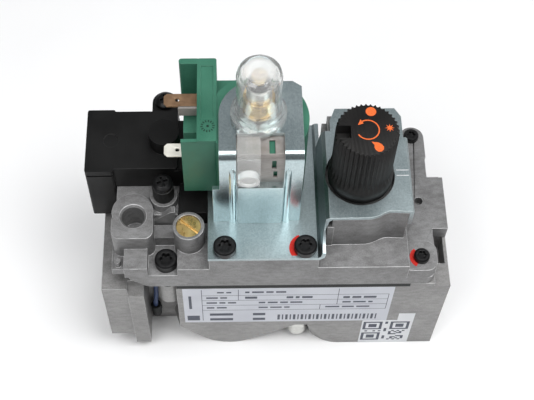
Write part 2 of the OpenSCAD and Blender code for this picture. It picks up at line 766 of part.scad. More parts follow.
module spindle_seal() color(rubber) o_ring(tap, 44.9, 7.92, 0.88);

module safety_disc() color(rubber) tube(tap, [17.6, flange_top], 8, 1.25);

module safety_stem() color(steel) union() {
    post(tap, [-4.6, flange_top], 1.25);
    post(tap, [-4.6, -2.8], 5);
}

module safety_spring() color(steel)
    coil_spring(tap, [magnet_top_z + 0.1, 17.5], 6.5, 0.4, 8);

module thermo_magnet() color("#a8a28e") difference() {
    post(tap, [magnet_low_z, magnet_top_z], 8);
    post(tap, [magnet_low_z - 1, magnet_low_z + 7], thermocouple_port_r);
}

// ---------- small parts ----------

module pilot_screw() color(brass) difference() {
    union() {
        post(pilot_in, [38, 45.4], pilot_screw_r);
        post(pilot_in, [34.6, 38], 1.6);
    }
    translate([pilot_in[0], pilot_in[1], 44.4]) rotate(-40) translate([-5, -0.45, 0])
        cube([10, 0.9, 2]);
}

module test_nipple() color(zinc) difference() {
    union() {
        translate([nipple[0], nipple[1], -19]) cylinder(r = 4.6, h = 19 + slab_z, $fn = 6);
        post(nipple, [-26, -18.9], 3.9);
        post(nipple, [slab_z - 0.1, -9.6], 2.5);
    }
    post(nipple, [-27, -9], 1.55);
}

module test_screw() color(zinc) difference() {
    post(nipple, [-26.4, -14], 1.5);
    slab([nipple[0] - 2, nipple[0] + 2], [nipple[1] - 0.25, nipple[1] + 0.25], [-27, -25.8]);
}

// Route of the earth lead down the gap beside the inlet collar
lead_route = [
    [18.1, -12.8, joint_z - 0.1], [18.2, -12.9, 14], [18.1, -13, 6], [17.8, -13.1, -2],
    [17.3, -13, -8], [17, -12.8, -14]
];
lead_r = 0.9;

module lead_wire() color("#4a5f80") {
    sides = 8;
    count = len(lead_route);
    points = [
        for (p = lead_route, k = [0:sides - 1])
            p + lead_r * [cos(360 * k / sides), sin(360 * k / sides), 0]
    ];
    sleeve = [
        for (i = [0:count - 2], k = [0:sides - 1])
            let (a = i * sides, n = (k + 1) % sides)
            [a + k, a + n, a + sides + n, a + sides + k]
    ];
    top_face = [[for (k = [sides - 1:-1:0]) k]];
    low_face = [[for (k = [0:sides - 1]) (count - 1) * sides + k]];
    polyhedron(points, concat(top_face, sleeve, low_face), convexity = 4);
}

module lead_sleeve() color(black) union() {
    post([17, -12.8], [-21, -14], 1.9);
    translate([17, -12.8, -21]) sphere(r = 1.9);
    post_y([-12.8, neck_y], 17, -20.6, 1.9);
}

module rating_label() color("#c9d2df")
    slab([28.6, 104.4], [front_y - 0.15, front_y], [-9.3, 19.9]);

module code_label() color("#eceef0") union() {
    slab([95.5, 114.7], [front_y - 0.15, front_y], [-30.6, -9.6]);
    slab([108.6, 114.7], [front_y - 0.15, front_y], [-10, -3.5]);
}

// Wire screen held in the narrower bore behind the inlet thread
filter_x = port_depth + 0.5;
function filter_half(c) = sqrt(pow(inner_port_r - 0.5, 2) - c * c);

module inlet_filter() color(steel) union() {
    translate([filter_x, 0, 0]) rotate([0, 90, 0]) difference() {
        cylinder(r = inner_port_r, h = 1.2);
        translate([0, 0, -1]) cylinder(r = inner_port_r - 1, h = 4);
    }
    for (c = [-6:3:6], flip = [0, 90])
        translate([filter_x + 0.35, 0, 0]) rotate([flip, 0, 0])
            translate([0, -filter_half(c), c - 0.25]) cube([0.5, 2 * filter_half(c), 0.5]);
}

lower_body();
body_gasket();
upper_cover();
base_plate();
yoke_bracket();
coil_housing();
coil_winding();
line_tab();
neutral_tab();
earth_tab();
core_tube();
adjuster_nut();
adjuster_sleeve();
adjuster_seal();
adjuster_screw();
regulator_spring();
modulator_core();
regulator_stem();
diaphragm_plate();
regulator_disc();
diaphragm();
window_strip();
clear_cap();
solenoid_block();
solenoid_tube();
solenoid_winding();
armature();
solenoid_disc();
solenoid_spring();
spacer_sleeve();
cross_screws();
torx_screws_m4();
torx_screws_m3();
knob();
knob_rod();
knob_spring();
tap_cam();
spindle_seal();
safety_disc();
safety_stem();
safety_spring();
thermo_magnet();
pilot_screw();
test_nipple();
test_screw();
lead_wire();
lead_sleeve();
rating_label();
code_label();
inlet_filter();
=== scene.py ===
"""Looks for a boiler gas valve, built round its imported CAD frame.

The frame is in metres with +X along the gas flow and +Z up. Places are given in millimetres
and turned into metres by MM.
"""

import json
from math import cos, pi, radians, sin, sqrt

import bmesh
import bpy
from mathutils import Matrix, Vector


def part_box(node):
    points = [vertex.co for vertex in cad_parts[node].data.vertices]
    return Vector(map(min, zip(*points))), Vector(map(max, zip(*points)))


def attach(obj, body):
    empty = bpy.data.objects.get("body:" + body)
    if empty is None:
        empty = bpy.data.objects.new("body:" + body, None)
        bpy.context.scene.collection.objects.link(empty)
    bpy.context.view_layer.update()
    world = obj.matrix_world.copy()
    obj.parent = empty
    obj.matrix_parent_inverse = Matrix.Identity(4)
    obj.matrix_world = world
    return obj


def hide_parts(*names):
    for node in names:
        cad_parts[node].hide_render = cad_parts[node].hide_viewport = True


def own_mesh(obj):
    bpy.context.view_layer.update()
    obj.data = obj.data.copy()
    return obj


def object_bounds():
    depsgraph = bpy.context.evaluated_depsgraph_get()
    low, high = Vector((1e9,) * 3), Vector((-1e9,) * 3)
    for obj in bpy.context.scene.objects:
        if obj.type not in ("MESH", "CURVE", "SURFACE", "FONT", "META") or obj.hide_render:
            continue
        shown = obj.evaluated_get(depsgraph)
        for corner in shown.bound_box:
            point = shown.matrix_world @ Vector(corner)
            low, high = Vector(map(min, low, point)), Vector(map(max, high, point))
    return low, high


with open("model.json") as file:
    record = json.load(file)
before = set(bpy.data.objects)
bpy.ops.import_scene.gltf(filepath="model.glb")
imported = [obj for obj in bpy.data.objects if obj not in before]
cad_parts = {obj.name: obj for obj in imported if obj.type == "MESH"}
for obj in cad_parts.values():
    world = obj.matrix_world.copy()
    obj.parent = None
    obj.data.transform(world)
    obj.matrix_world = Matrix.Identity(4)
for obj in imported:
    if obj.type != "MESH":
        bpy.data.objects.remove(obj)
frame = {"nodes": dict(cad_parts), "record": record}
cad_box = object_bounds()

MM = 0.001
BODY = "valve_body"


def box_mm(node):
    """Lowest and highest corner of a CAD node, in millimetres."""
    low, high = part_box(node)
    return Vector(low) / MM, Vector(high) / MM


def srgb(red, green, blue):
    """A screen colour from 0 to 255 as the linear colour that a shader takes."""

    def linear(value):
        share = value / 255
        return share / 12.92 if share <= 0.04045 else ((share + 0.055) / 1.055) ** 2.4

    return (linear(red), linear(green), linear(blue), 1.0)


# ---------- materials ----------


class Look:
    """A Principled material with colour, roughness and bump from noise in the piece's own space."""

    def __init__(self, name, metallic=0.0, **constants):
        self.material = bpy.data.materials.new(name)
        self.material.use_nodes = True
        self.tree = self.material.node_tree
        self.shader = self.tree.nodes["Principled BSDF"]
        self.shader.inputs["Metallic"].default_value = metallic
        for socket, value in constants.items():
            self.shader.inputs[socket.replace("_", " ")].default_value = value
        self.place = self.node("TexCoord").outputs["Object"]

    def node(self, kind, **settings):
        made = self.tree.nodes.new("ShaderNode" + kind)
        for name, value in settings.items():
            setattr(made, name, value)
        return made

    def link(self, source, target):
        self.tree.links.new(source, target)

    def noise(self, size, stretch=(1, 1, 1), detail=3.0):
        """Noise from 0 to 1 with features of about size mm, longer where stretch is over 1."""
        mapping = self.node("Mapping")
        mapping.inputs["Scale"].default_value = [1 / (size * MM * s) for s in stretch]
        self.link(self.place, mapping.inputs["Vector"])
        made = self.node("TexNoise")
        made.inputs["Scale"].default_value = 1.0
        made.inputs["Detail"].default_value = detail
        self.link(mapping.outputs["Vector"], made.inputs["Vector"])
        return made.outputs["Fac"]

    def cells(self, size):
        """Flat cells of about size mm, such as the crystals of a zinc coat."""
        made = self.node("TexVoronoi")
        made.inputs["Scale"].default_value = 1 / (size * MM)
        self.link(self.place, made.inputs["Vector"])
        spread = self.node("SeparateColor")
        self.link(made.outputs["Color"], spread.inputs["Color"])
        return spread.outputs["Red"]

    def spread(self, source, low, high, to_low, to_high):
        made = self.node("MapRange")
        for name, value in (
            ("From Min", low),
            ("From Max", high),
            ("To Min", to_low),
            ("To Max", to_high),
        ):
            made.inputs[name].default_value = value
        self.link(source, made.inputs["Value"])
        return made.outputs["Result"]

    def math(self, operation, first, second):
        made = self.node("Math", operation=operation)
        for socket, value in zip(made.inputs, (first, second)):
            if isinstance(value, (int, float)):
                socket.default_value = value
            else:
                self.link(value, socket)
        return made.outputs["Value"]

    def average(self, *sources):
        total = sources[0]
        for source in sources[1:]:
            total = self.math("ADD", total, source)
        return self.math("DIVIDE", total, float(len(sources)))

    def ramp(self, source, dark, light, low=0.3, high=0.7):
        made = self.node("ValToRGB")
        made.color_ramp.elements[0].position = low
        made.color_ramp.elements[0].color = srgb(*dark)
        made.color_ramp.elements[1].position = high
        made.color_ramp.elements[1].color = srgb(*light)
        self.link(source, made.inputs["Fac"])
        return made.outputs["Color"]

    def colour(self, source):
        self.link(source, self.shader.inputs["Base Color"])
        return self

    def rough(self, source, low, high):
        self.link(self.spread(source, 0.3, 0.7, low, high), self.shader.inputs["Roughness"])
        return self

    def bump(self, *layers):
        """Each layer is (source, height in mm, strength)."""
        normal = None
        for source, height, strength in layers:
            made = self.node("Bump")
            made.inputs["Distance"].default_value = height * MM
            made.inputs["Strength"].default_value = strength
            self.link(source, made.inputs["Height"])
            if normal is not None:
                self.link(normal, made.inputs["Normal"])
            normal = made.outputs["Normal"]
        self.link(normal, self.shader.inputs["Normal"])
        return self


def cast_look(name, dark, light):
    look = Look(name, metallic=0.35, Specular_IOR_Level=0.4)
    blotch, grain = look.noise(14, detail=4), look.noise(0.35, detail=2)
    skin = look.noise(1.6, stretch=(2, 1, 1), detail=3)
    mixed = look.average(blotch, grain, skin)
    look.colour(look.ramp(mixed, dark, light, 0.4, 0.6)).rough(mixed, 0.38, 0.5)
    return look.bump((grain, 0.03, 0.4), (skin, 0.05, 0.2))


def lighter_edge_look(name, dark, light, metallic):
    """A lighter colour for the rounded faces of an edge."""
    look = Look(name, metallic=metallic, Specular_IOR_Level=0.3)
    edge_mottle = look.noise(2.5, detail=4)
    look.colour(look.ramp(edge_mottle, dark, light, 0.35, 0.65)).rough(edge_mottle, 0.32, 0.48)
    return look.bump((edge_mottle, 0.03, 0.3))


def zinc_look(name, rough, dark=(174, 190, 193), light=(203, 218, 220)):
    look = Look(name, metallic=1.0)
    cloud, brushed = look.noise(18, detail=2), look.noise(0.3, stretch=(1, 18, 18))
    crystals = look.cells(0.45)
    mixed = look.average(cloud, cloud, cloud, brushed, crystals)
    look.colour(look.ramp(mixed, dark, light, 0.34, 0.66)).rough(cloud, *rough)
    return look.bump((crystals, 0.002, 0.06), (brushed, 0.004, 0.1), (cloud, 0.35, 0.08))


def machined_look(name, dark, light, rough=(0.2, 0.4), metallic=1.0):
    look = Look(name, metallic=metallic)
    cloud, ring = look.noise(5, detail=3), look.noise(0.3, stretch=(8, 8, 0.6))
    mixed = look.average(cloud, ring)
    look.colour(look.ramp(mixed, dark, light)).rough(mixed, *rough)
    return look.bump((ring, 0.015, 0.3))


def moulded_look(name, dark, light, rough=(0.4, 0.56), grain_height=0.03, shine=0.3):
    look = Look(name, Specular_IOR_Level=shine)
    cloud, grain = look.noise(11, detail=3), look.noise(0.3, detail=2)
    mixed = look.average(cloud, cloud, grain)
    look.colour(look.ramp(mixed, dark, light, 0.34, 0.66)).rough(cloud, *rough)
    return look.bump((grain, grain_height, 0.4))


MILKY_TOP = (108.3 * MM, 108.8 * MM)
MILKY_BUTTON = (-9.8 * MM, -10.4 * MM)


def clear_look():
    """Moulded clear plastic, milky where it is thick: the top of the dome and the button."""
    look = Look("clear_plastic", IOR=1.11, Coat_Weight=0.7, Coat_Roughness=0.06)
    haze = look.noise(6, detail=3)
    look.colour(look.ramp(haze, (240, 242, 241), (253, 253, 252)))
    split = look.node("SeparateXYZ")
    look.link(look.place, split.inputs["Vector"])
    top = look.spread(split.outputs["Z"], *MILKY_TOP, 0.0, 1.0)
    button = look.spread(split.outputs["Y"], *MILKY_BUTTON, 0.0, 1.0)
    milk = look.math("MAXIMUM", top, button)
    passed = look.spread(milk, 0.0, 1.0, 0.86, 0.5)
    look.link(passed, look.shader.inputs["Transmission Weight"])
    soft = look.math("ADD", look.math("MULTIPLY", haze, 0.06), look.math("MULTIPLY", milk, 0.1))
    look.link(soft, look.shader.inputs["Roughness"])
    return look.bump((haze, 0.05, 0.2))


def film_look(name, dark, light):
    look = Look(name, Coat_Weight=0.2, Coat_Roughness=0.3, Specular_IOR_Level=0.3)
    cloud, grain = look.noise(16, detail=2), look.noise(0.6, detail=2)
    look.colour(look.ramp(cloud, dark, light)).rough(grain, 0.34, 0.46)
    return look.bump((cloud, 0.08, 0.15))


def mark_look(name, dark, light):
    look = Look(name, Specular_IOR_Level=0.25)
    speckle = look.noise(0.35, detail=2)
    look.colour(look.ramp(speckle, dark, light)).rough(speckle, 0.45, 0.6)
    return look.bump((speckle, 0.01, 0.3))


LOOKS = {
    "cast_aluminium": cast_look("cast_aluminium", (109, 108, 108), (142, 142, 142)),
    "zinc_plate": zinc_look("zinc_plate", (0.16, 0.26)),
    "gasket_rubber": moulded_look("gasket_rubber", (30, 31, 31), (48, 50, 50), (0.6, 0.75), 0.08),
    "green_plastic": moulded_look("green_plastic", (45, 99, 79), (64, 120, 99)),
    "black_plastic": moulded_look("black_plastic", (14, 14, 14), (24, 24, 24), shine=0.2),
    "knob_plastic": moulded_look("knob_plastic", (22, 21, 21), (34, 33, 32), shine=0.2),
    "black_steel": moulded_look("black_steel", (8, 8, 9), (20, 20, 21), (0.34, 0.48), 0.01, 0.25),
    "brass_parts": machined_look("brass_parts", (220, 178, 108), (250, 222, 156)),
    "plated_steel": machined_look("plated_steel", (176, 176, 172), (228, 228, 224)),
    "spring_steel": machined_look("spring_steel", (120, 122, 124), (186, 188, 190)),
    "strip_steel": machined_look(
        "strip_steel", (130, 125, 121), (168, 163, 159), (0.4, 0.55), 0.55
    ),
    "tinned_copper": machined_look(
        "tinned_copper", (128, 100, 76), (168, 136, 106), (0.3, 0.45), 0.7
    ),
    "nickel_tab": machined_look("nickel_tab", (214, 211, 200), (241, 239, 229), (0.3, 0.45), 0.3),
    "enamelled_wire": machined_look("enamelled_wire", (150, 78, 40), (206, 122, 74)),
    "magnet_case": machined_look("magnet_case", (150, 144, 110), (196, 190, 158), (0.3, 0.45), 0.7),
    "blue_lead": moulded_look("blue_lead", (50, 66, 104), (76, 96, 138)),
    "label_film": film_look("label_film", (192, 195, 204), (206, 209, 217)),
    "clear_plastic": clear_look(),
}
OWN_LOOKS = {
    # the lower body takes a lighter copy of the cast look
    "lower_body": cast_look("lighter_casting", (124, 123, 122), (154, 153, 152)),
    # the base plate: rougher zinc, its colour darkened as painted shade for the dim, blurred
    # reflection it shows
    "base_plate": zinc_look("zinc_dull_shaded", (0.32, 0.42), (149, 162, 165), (176, 189, 191)),
    "code_label": film_look("code_film", (216, 218, 222), (230, 232, 235)),
}
ORANGE = mark_look("orange_print", (214, 92, 38), (236, 118, 58))
RED = mark_look("red_paint", (178, 24, 18), (206, 46, 34))
INK = mark_look("grey_ink", (66, 70, 82), (92, 97, 110))
WHITE_FILM = film_look("white_film", (226, 228, 230), (240, 241, 242))
# dark green for the painted shade in the relief of the date clock
GREEN_SHADE = mark_look("green_shadow", (12, 32, 24), (22, 48, 37))
# lighter copies of four looks, laid on the rounded faces of their edges
LIGHTER_EDGES = {
    "cast_aluminium": lighter_edge_look("cast_edge", (140, 140, 140), (190, 190, 190), 0.5),
    "zinc_plate": lighter_edge_look("zinc_edge", (170, 180, 181), (206, 215, 215), 0.9),
    "green_plastic": lighter_edge_look("green_edge", (62, 116, 96), (92, 142, 122), 0.0),
    "black_plastic": lighter_edge_look("black_edge", (26, 26, 26), (44, 44, 43), 0.0),
}
SLOT_OF = {part["node"]: part["material_slot"] for part in frame["record"]["subparts"]}
BODIES = frame["record"]["behaviour"]["bodies"]
BODY_OF = {node: body for body, nodes in BODIES.items() for node in nodes}


def look_of(node):
    return OWN_LOOKS.get(node, LOOKS[SLOT_OF[node]])


# ---------- mesh helpers ----------


def as_mesh(bm, name):
    """Ends a bmesh and returns it as a mesh."""
    mesh = bpy.data.meshes.new(name)
    bm.to_mesh(mesh)
    bm.free()
    return mesh


def add_piece(name, mesh, look, body, smooth=True):
    """A new piece that rides on a body and has one look."""
    piece = bpy.data.objects.new(name, mesh)
    bpy.context.scene.collection.objects.link(piece)
    mesh.materials.clear()
    mesh.materials.append(look.material)
    for face in mesh.polygons:
        face.use_smooth = smooth
        face.material_index = 0
    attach(piece, body)
    return piece


def shade_by_angle(piece, degrees):
    """Smooth shading that keeps edges sharper than the angle."""
    bm = bmesh.new()
    bm.from_mesh(piece.data)
    for edge in bm.edges:
        edge.smooth = len(edge.link_faces) == 2 and edge.calc_face_angle(0) < radians(degrees)
    bm.to_mesh(piece.data)
    bm.free()


# vertices closer than WELD metres become one, and so do faces within FLAT_DEGREES
WELD = 0.004 * MM
FLAT_DEGREES = 0.6
# two edges this much in line are one line; a rounding takes at most ROOM_SHARE of its neighbour
STRAIGHT_ON, ROOM_SHARE = 0.8, 0.42
# a face folded over its neighbour turns by more than FOLD_DEGREES
FOLD_DEGREES, FOLD_AREA = 150, 0.01 * MM**2
# material indices of flat and rounded faces
FLAT, EDGE = 0, 1
# how often a rounding is tried, and how much narrower each time
MOST_TRIES, NARROWER = 4, 0.6
# edges up to this many degrees are shaded smooth
SOFT_BELOW = 40


def turns_by(edge, degrees):
    return len(edge.link_faces) == 2 and edge.calc_face_angle(0) > radians(degrees)


def edge_weights(bm, width, sharpest):
    """Marks the edges to round, each with the share of width that its neighbours leave room for."""
    weights = bm.edges.layers.float.new("bevel_weight_edge")
    marked = {edge for edge in bm.edges if turns_by(edge, sharpest)}
    for edge in marked:
        room = width * MM
        along = (edge.verts[1].co - edge.verts[0].co).normalized()
        for vert in edge.verts:
            for other in vert.link_edges:
                side = other.other_vert(vert).co - vert.co
                straight = abs(side.normalized().dot(along))
                if other is edge or (other in marked and straight > STRAIGHT_ON):
                    continue
                room = min(room, ROOM_SHARE * side.length * sqrt(max(0.0, 1 - straight**2)))
        edge[weights] = room / (width * MM)


def folds(mesh):
    """How many edges have a face folded back over its neighbour."""
    bm = bmesh.new()
    bm.from_mesh(mesh)
    count = sum(
        1
        for edge in bm.edges
        if turns_by(edge, FOLD_DEGREES)
        and min(face.calc_area() for face in edge.link_faces) > FOLD_AREA
    )
    bm.free()
    return count


def rounded_mesh(node, width, segments, sharpest):
    """A CAD node's mesh with flat faces joined and edges rounded by width mm."""
    bm = bmesh.new()
    bm.from_mesh(frame["nodes"][node].data)
    bmesh.ops.remove_doubles(bm, verts=bm.verts, dist=WELD)
    bmesh.ops.dissolve_degenerate(bm, edges=bm.edges, dist=WELD)
    bmesh.ops.dissolve_limit(
        bm, angle_limit=radians(FLAT_DEGREES), verts=bm.verts, edges=bm.edges
    )
    many_sided = [face for face in bm.faces if len(face.verts) > 4]
    bmesh.ops.triangulate(bm, faces=many_sided, ngon_method="BEAUTY")
    edge_weights(bm, width, sharpest)
    mesh = as_mesh(bm, node + "_mesh")
    for index in (FLAT, EDGE):
        mesh.materials.append(None)
    shaped = bpy.data.objects.new("shaped", mesh)
    bpy.context.scene.collection.objects.link(shaped)
    bevel = shaped.modifiers.new("rounded edges", "BEVEL")
    bevel.width = width * MM
    bevel.segments = segments
    bevel.limit_method = "WEIGHT"
    bevel.use_clamp_overlap = False
    bevel.miter_outer = "MITER_ARC"
    bevel.material = EDGE
    settle(shaped)
    result = shaped.data
    bpy.data.objects.remove(shaped)
    return result


def polished(node, width, segments=2, sharpest=26):
    """A rounded copy that replaces a CAD node; the width shrinks until no face folds over."""
    tries = [rounded_mesh(node, width, segments, sharpest)]
    while folds(tries[-1]) and len(tries) < MOST_TRIES:
        tries.append(rounded_mesh(node, width * NARROWER ** len(tries), segments, sharpest))
    mesh = min(tries, key=folds)
    on_edge = [face.material_index == EDGE for face in mesh.polygons]
    piece = add_piece(node + "_finished", mesh, look_of(node), BODY_OF[node])
    # the rounded edge faces take a lighter copy of the look
    if SLOT_OF[node] in LIGHTER_EDGES:
        mesh.materials.append(LIGHTER_EDGES[SLOT_OF[node]].material)
        mesh.polygons.foreach_set("material_index", on_edge)
    shade_by_angle(piece, SOFT_BELOW)
    even = piece.modifiers.new("even shading", "WEIGHTED_NORMAL")
    even.keep_sharp = True
    even.weight = 100
    settle(piece)
    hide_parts(node)
    return piece


def settle(piece):
    """Turns a piece's modifiers into its mesh."""
    bpy.context.view_layer.update()
    depsgraph = bpy.context.evaluated_depsgraph_get()
    result = bpy.data.meshes.new_from_object(piece.evaluated_get(depsgraph))
    piece.modifiers.clear()
    piece.data = result


def on_top(z):
    """Places flat outlines, given as x and y, at a height."""
    return lambda u, v, depth: (u * MM, v * MM, (z + depth) * MM)


def on_front(y):
    """Places flat outlines, given as x and z, on a face towards -Y."""
    return lambda u, v, depth: (u * MM, (y - depth) * MM, v * MM)


# how deep and how thick printed marks are, in mm
SUNK, PRINT_THICK, LINE_THICK = 0.02, 0.02, 0.03


def plaques(name, outlines, place, thickness, look, body):
    """Thin solids of flat outlines, such as printing or paint, sunk a little into their face."""
    bm = bmesh.new()
    for outline in outlines:
        low = [bm.verts.new(place(u, v, -SUNK)) for u, v in outline]
        high = [bm.verts.new(place(u, v, thickness)) for u, v in outline]
        bm.faces.new(low)
        bm.faces.new(high)
        for i in range(len(outline)):
            j = (i + 1) % len(outline)
            bm.faces.new((low[i], low[j], high[j], high[i]))
    bmesh.ops.recalc_face_normals(bm, faces=bm.faces)
    return add_piece(name, as_mesh(bm, name), look, body, smooth=False)


def rectangle(x, y):
    return [(x[0], y[0]), (x[1], y[0]), (x[1], y[1]), (x[0], y[1])]


def disc(x, y, radius, sides=32):
    return [
        (x + radius * cos(2 * pi * i / sides), y + radius * sin(2 * pi * i / sides))
        for i in range(sides)
    ]


def arc_band(x, y, inner, outer, start, end, steps=24):
    """Outline of a band between two radii, from one angle to another in degrees."""
    angles = [radians(start + (end - start) * i / steps) for i in range(steps + 1)]
    return [(x + outer * cos(a), y + outer * sin(a)) for a in angles] + [
        (x + inner * cos(a), y + inner * sin(a)) for a in reversed(angles)
    ]


# ---------- rounded copies of the CAD nodes that are seen ----------

# node: width of the rounding in mm
ROUNDED = {
    "lower_body": 0.7,
    "upper_cover": 0.7,
    "base_plate": 0.22,
    "yoke_bracket": 0.25,
    "coil_housing": 0.35,
    "solenoid_block": 0.5,
    "spacer_sleeve": 0.25,
    "cross_screws": 0.15,
    "torx_screws_m4": 0.25,
    "torx_screws_m3": 0.2,
    "line_tab": 0.12,
    "neutral_tab": 0.12,
    "earth_tab": 0.1,
    "window_strip": 0.12,
    "adjuster_nut": 0.2,
    "adjuster_sleeve": 0.2,
    "adjuster_screw": 0.15,
    "test_nipple": 0.25,
    "test_screw": 0.1,
    "pilot_screw": 0.2,
    "lead_sleeve": 0.3,
    "clear_cap": 0.45,
    "body_gasket": 0.25,
    "thermo_magnet": 0.3,
}

for node, width in ROUNDED.items():
    polished(node, width)

# ---------- springs, wound again as round wire between the ends of each CAD spring ---

# node: (joint, travel in mm, fixed end, wire radius in mm, turns)
SPRINGS = {
    "knob_spring": ("knob_push", 4.0, "low", 0.5, 4),
    "safety_spring": ("flame_valve_lift", 4.0, "low", 0.4, 8),
    "regulator_spring": ("regulator_lift", 1.8, "high", 0.4, 7),
    "solenoid_spring": ("shutoff_lift", 2.5, "high", 0.35, 5),
}
WIRE_SIDES, STEPS_PER_TURN = 10, 32


def spring_mesh(name, centre, z, coil_r, wire_r, turns):
    """A round wire wound between two heights, closed at both ends."""
    bm = bmesh.new()
    steps = turns * STEPS_PER_TURN
    rise = z[1] - z[0] - 2 * wire_r
    rings = []
    for i in range(steps + 1):
        a = 2 * pi * i / STEPS_PER_TURN
        ring = []
        for k in range(WIRE_SIDES):
            b = 2 * pi * k / WIRE_SIDES
            r = coil_r + wire_r * cos(b)
            height = z[0] + wire_r + rise * i / steps + wire_r * sin(b)
            place = Vector((centre.x + r * cos(a), centre.y + r * sin(a), height))
            ring.append(bm.verts.new(place * MM))
        rings.append(ring)
    for ring, after in zip(rings, rings[1:]):
        for k in range(WIRE_SIDES):
            n = (k + 1) % WIRE_SIDES
            bm.faces.new((ring[k], ring[n], after[n], after[k]))
    bm.faces.new(rings[0])
    bm.faces.new(rings[-1])
    bmesh.ops.recalc_face_normals(bm, faces=bm.faces)
    return as_mesh(bm, name)


for node, (joint, travel, fixed, wire_r, turns) in SPRINGS.items():
    low, high = box_mm(node)
    centre = (low + high) / 2
    coil_r = (high.x - low.x) / 2 - wire_r
    mesh = spring_mesh(node + "_wound", centre, (low.z, high.z), coil_r, wire_r, turns)
    spring = add_piece(node + "_finished", mesh, look_of(node), BODY_OF[node])
    room = high.z - low.z
    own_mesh(spring)
    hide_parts(node)

# the CAD nodes that stay as they are only take their look
for node, obj in frame["nodes"].items():
    if node not in ROUNDED and node not in SPRINGS:
        for index in range(len(obj.material_slots)):
            obj.material_slots[index].link = "OBJECT"
            obj.material_slots[index].material = look_of(node).material

# ---------- knob ----------

KNOB_LOW, KNOB_HIGH = box_mm("knob")
KNOB_X = (KNOB_LOW.x + KNOB_HIGH.x) / 2
KNOB_Y = (KNOB_LOW.y + KNOB_HIGH.y) / 2
KNOB_BOTTOM, KNOB_TOP = KNOB_LOW.z, KNOB_HIGH.z
SKIRT_R = (KNOB_HIGH.x - KNOB_LOW.x) / 2
TEETH = 40
POINTS_PER_TOOTH = 8
SOCKET_R, SOCKET_TOP = 4.08, 71
SPRING_R, SPRING_ROOF = 8.2, 60
RIB_DEPTH = 0.75
KNOB_SOFT_BELOW = 38

# (height, radius, share of the full rib depth), from the top rim down to the foot of the skirt
KNOB_ROWS = [
    (KNOB_TOP, SKIRT_R - 1.5, 0.7),
    (KNOB_TOP - 0.12, SKIRT_R - 1.0, 0.9),
    (KNOB_TOP - 0.5, SKIRT_R - 0.75, 1.0),
    (KNOB_TOP - 9, SKIRT_R - 0.75, 1.0),
    (KNOB_TOP - 19, SKIRT_R - 0.7, 1.0),
    (KNOB_TOP - 21, SKIRT_R - 0.6, 0.7),
    (KNOB_TOP - 22.4, SKIRT_R - 0.35, 0.2),
    (KNOB_TOP - 23.4, SKIRT_R - 0.1, 0.0),
    (KNOB_TOP - 24.4, SKIRT_R, 0.0),
    (KNOB_BOTTOM + 0.5, SKIRT_R, 0.0),
    (KNOB_BOTTOM + 0.1, SKIRT_R - 0.2, 0.0),
    (KNOB_BOTTOM, SKIRT_R - 0.6, 0.0),
    (KNOB_BOTTOM, SPRING_R, 0.0),
    (SPRING_ROOF, SPRING_R, 0.0),
    (SPRING_ROOF, SOCKET_R, 0.0),
    (SOCKET_TOP, SOCKET_R, 0.0),
]


def knob_mesh():
    """The knob as one lathe-like skin with ribs, a flat top and its socket."""
    bm = bmesh.new()
    count = TEETH * POINTS_PER_TOOTH
    rows = []
    for height, radius, share in KNOB_ROWS:
        row = []
        for i in range(count):
            phase = 2 * pi * (i % POINTS_PER_TOOTH) / POINTS_PER_TOOTH
            groove = (0.5 - 0.5 * cos(phase)) ** 0.5
            r = radius - RIB_DEPTH * share * groove
            angle = 2 * pi * i / count
            place = Vector((KNOB_X + r * cos(angle), KNOB_Y + r * sin(angle), height))
            row.append(bm.verts.new(place * MM))
        rows.append(row)
    for upper, lower in zip(rows, rows[1:]):
        for i in range(count):
            j = (i + 1) % count
            bm.faces.new((upper[i], lower[i], lower[j], upper[j]))
    bm.faces.new(rows[0])
    bm.faces.new(list(reversed(rows[-1])))
    bmesh.ops.recalc_face_normals(bm, faces=bm.faces)
    return as_mesh(bm, "knob_ribbed")


def cut_away(piece, low, high):
    """Cuts a box, given by two corners in mm, out of a piece."""
    bm = bmesh.new()
    bmesh.ops.create_cube(bm, size=1.0)
    for vert in bm.verts:
        vert.co = [(l + (h - l) * (c + 0.5)) * MM for c, l, h in zip(vert.co, low, high)]
    cutter = bpy.data.objects.new("cutter", as_mesh(bm, "cutter"))
    bpy.context.scene.collection.objects.link(cutter)
    cut = piece.modifiers.new("cut", "BOOLEAN")
    cut.operation, cut.solver, cut.object = "DIFFERENCE", "EXACT", cutter
    settle(piece)
    bpy.data.objects.remove(cutter)


knob = add_piece("knob_finished", knob_mesh(), LOOKS["knob_plastic"], "knob")
# the pointer notch in the rim, given from the knob's axis and top
NOTCH_LOW, NOTCH_HIGH = Vector((-12, -3, -4.5)), Vector((-5.4, 1.6, 1))
KNOB_AXIS = Vector((KNOB_X, KNOB_Y, KNOB_TOP))
cut_away(knob, KNOB_AXIS + NOTCH_LOW, KNOB_AXIS + NOTCH_HIGH)
shade_by_angle(knob, KNOB_SOFT_BELOW)
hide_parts("knob")

